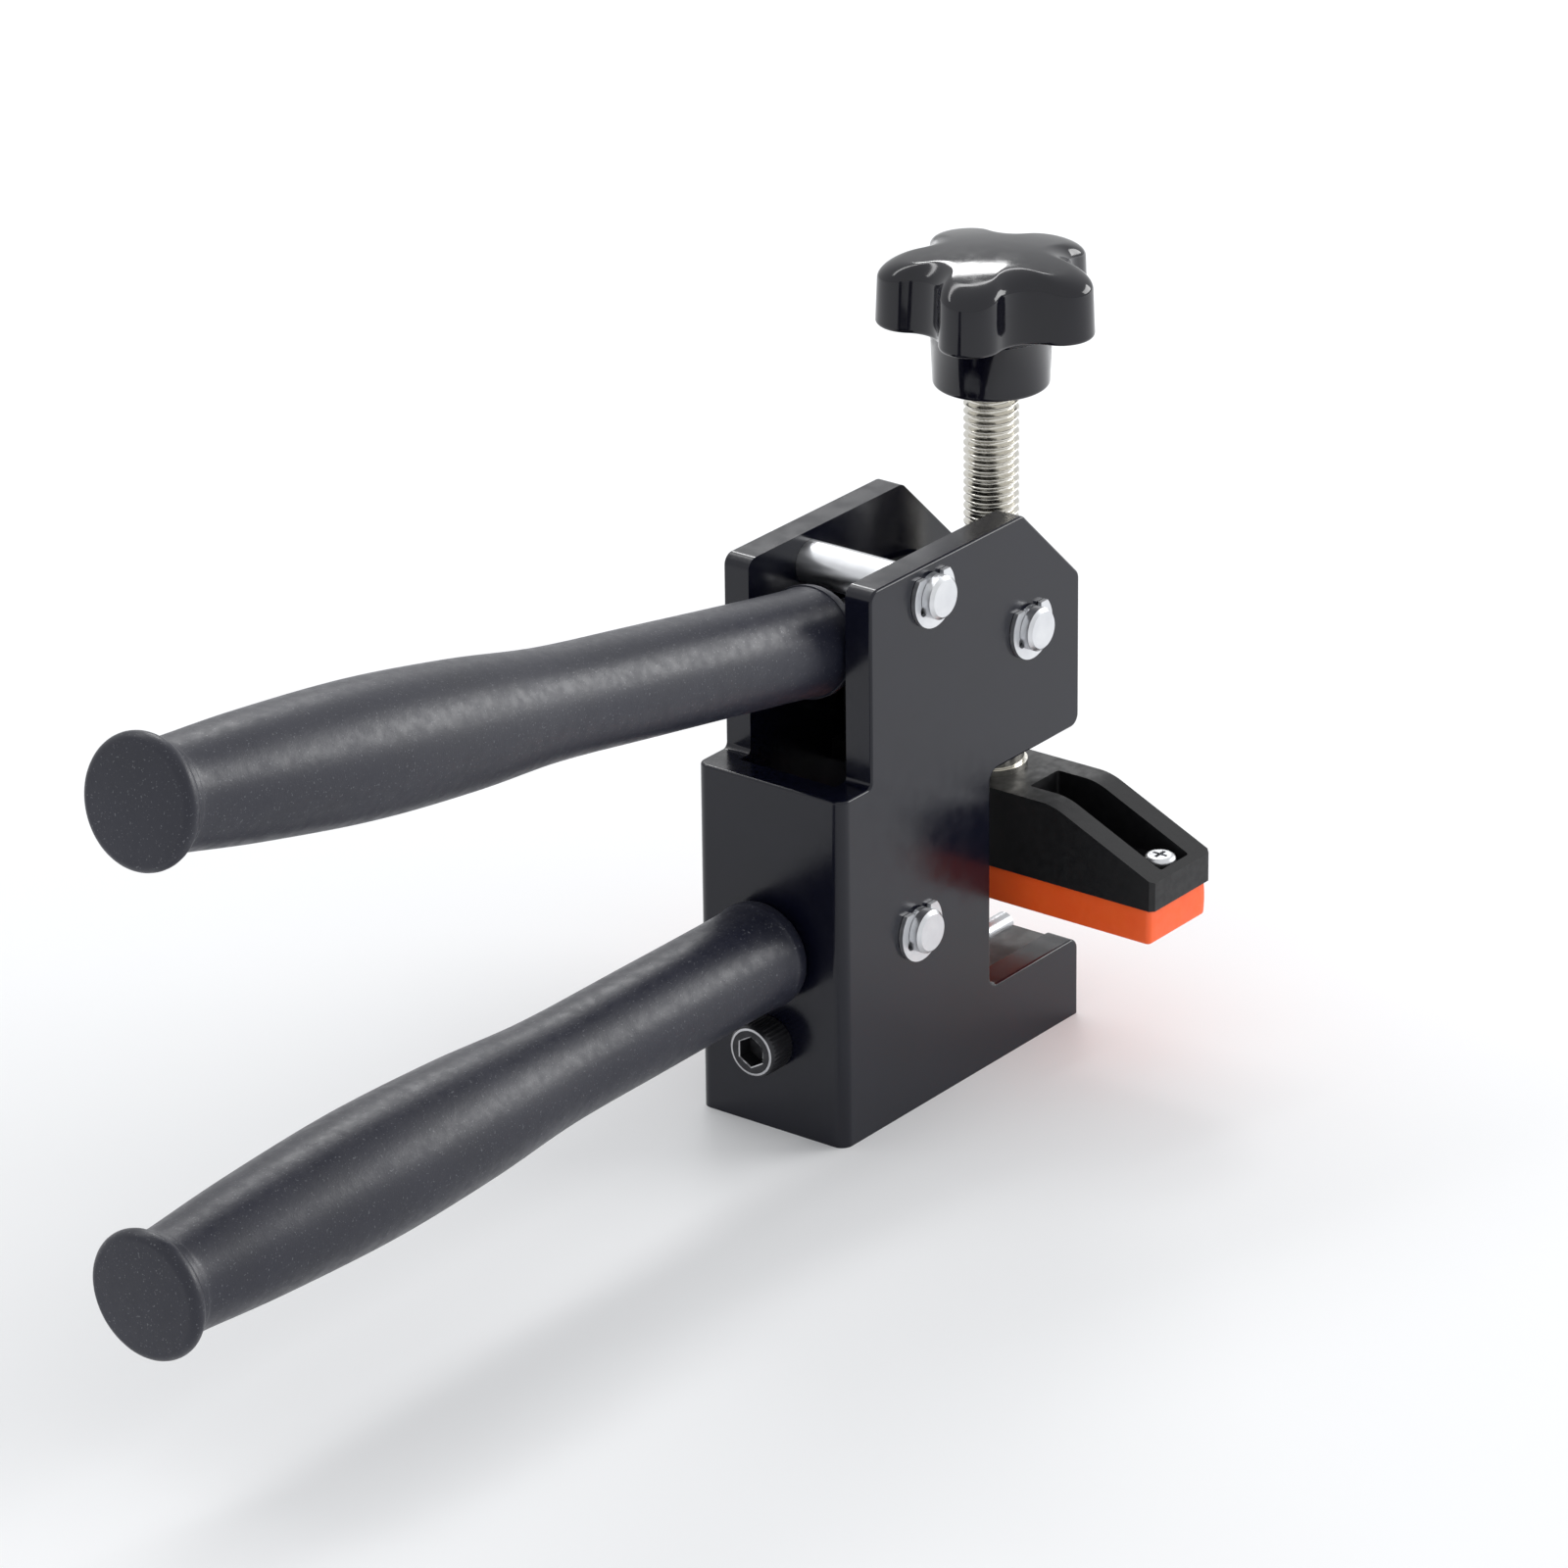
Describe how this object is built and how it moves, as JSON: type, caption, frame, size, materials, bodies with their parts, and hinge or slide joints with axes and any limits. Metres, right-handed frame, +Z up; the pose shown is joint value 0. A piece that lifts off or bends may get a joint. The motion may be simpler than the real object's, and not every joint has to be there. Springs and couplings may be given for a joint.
{
  "type": "tile cutter",
  "caption": "Hand tile cutter: two long handles squeeze a padded crossbar foot over a ridged jaw to snap a scored tile; star knob sets the gap.",
  "frame": {"origin": "where the axis of the adjusting screw meets the base plane of the housing", "axes": "+X away from the handles towards the jaw's tip, +Y towards the far cheek, +Z up"},
  "size_m": [0.2539, 0.084, 0.146],
  "materials": {
    "housing_black": "satin",
    "inner_steel": "satin",
    "handle_steel": "satin",
    "pin_zinc": "polished",
    "screw_nickel": "polished",
    "screw_black": "satin",
    "grip_rubber": "matte",
    "knob_black": "gloss",
    "bush_bronze": "satin",
    "foot_black": "matte",
    "pad_orange": "satin",
    "ridge_steel": "satin",
    "spring_steel": "satin"
  },
  "bodies": {
    "frame": {"housing": "housing_black", "stop_pin": "pin_zinc", "pivot_pin": "pin_zinc", "lower_pin": "pin_zinc", "stop_pin_clips": "pin_zinc", "pivot_pin_clips": "pin_zinc", "lower_pin_clips": "pin_zinc", "pivot_washers": "pin_zinc", "lower_spacers": "pin_zinc", "lower_handle_rod": "handle_steel", "lower_grip": "grip_rubber", "guide_plate": "inner_steel", "anvil_block": "inner_steel", "anvil_ridge": "ridge_steel", "anvil_screw": "screw_black"},
    "lever": {"lever_fork": "inner_steel", "lever_bushes": "bush_bronze", "upper_handle_rod": "handle_steel", "upper_grip": "grip_rubber"},
    "press": {"press_block": "inner_steel", "return_spring": "spring_steel"},
    "carrier": {"foot_washer": "screw_nickel"},
    "foot_bar": {"foot": "foot_black", "pressure_pad": "pad_orange", "pad_screws": "pin_zinc"},
    "spindle": {"adjusting_screw": "screw_nickel", "screw_collar": "screw_nickel", "foot_clip": "pin_zinc", "knob_insert": "screw_nickel", "star_knob": "knob_black"}
  },
  "joints": [
    {"name": "lever_swing", "type": "hinge", "parent": "frame", "child": "lever", "pos_m": [-0.0108, 0, 0.0814], "axis": [0, -1, 0], "range_deg": [0, 14], "stiffness_Nm_per_rad": 2, "springref_deg": -17.19},
    {"name": "press_slide", "type": "slide", "parent": "frame", "child": "press", "axis": [0, 0, -1], "range_m": [0, 0.0032], "deforming": ["return_spring"]},
    {"name": "foot_adjust", "type": "slide", "parent": "press", "child": "carrier", "axis": [0, 0, 1], "range_m": [-0.0054, 0.006]},
    {"name": "foot_swivel", "type": "hinge", "parent": "carrier", "child": "foot_bar", "pos_m": [0, 0, 0.0472], "axis": [0, 0, 1], "range_deg": [-30, 30]},
    {"name": "screw_turn", "type": "hinge", "parent": "carrier", "child": "spindle", "pos_m": [0, 0, 0.0482], "axis": [0, 0, 1], "range_deg": [-1300, 1445]}
  ],
  "couplings": [
    {"joint": "press_slide", "follows": "lever_swing", "m_per_rad": 0.0127},
    {"joint": "screw_turn", "follows": "foot_adjust", "rad_per_m": 4188.8}
  ]
}
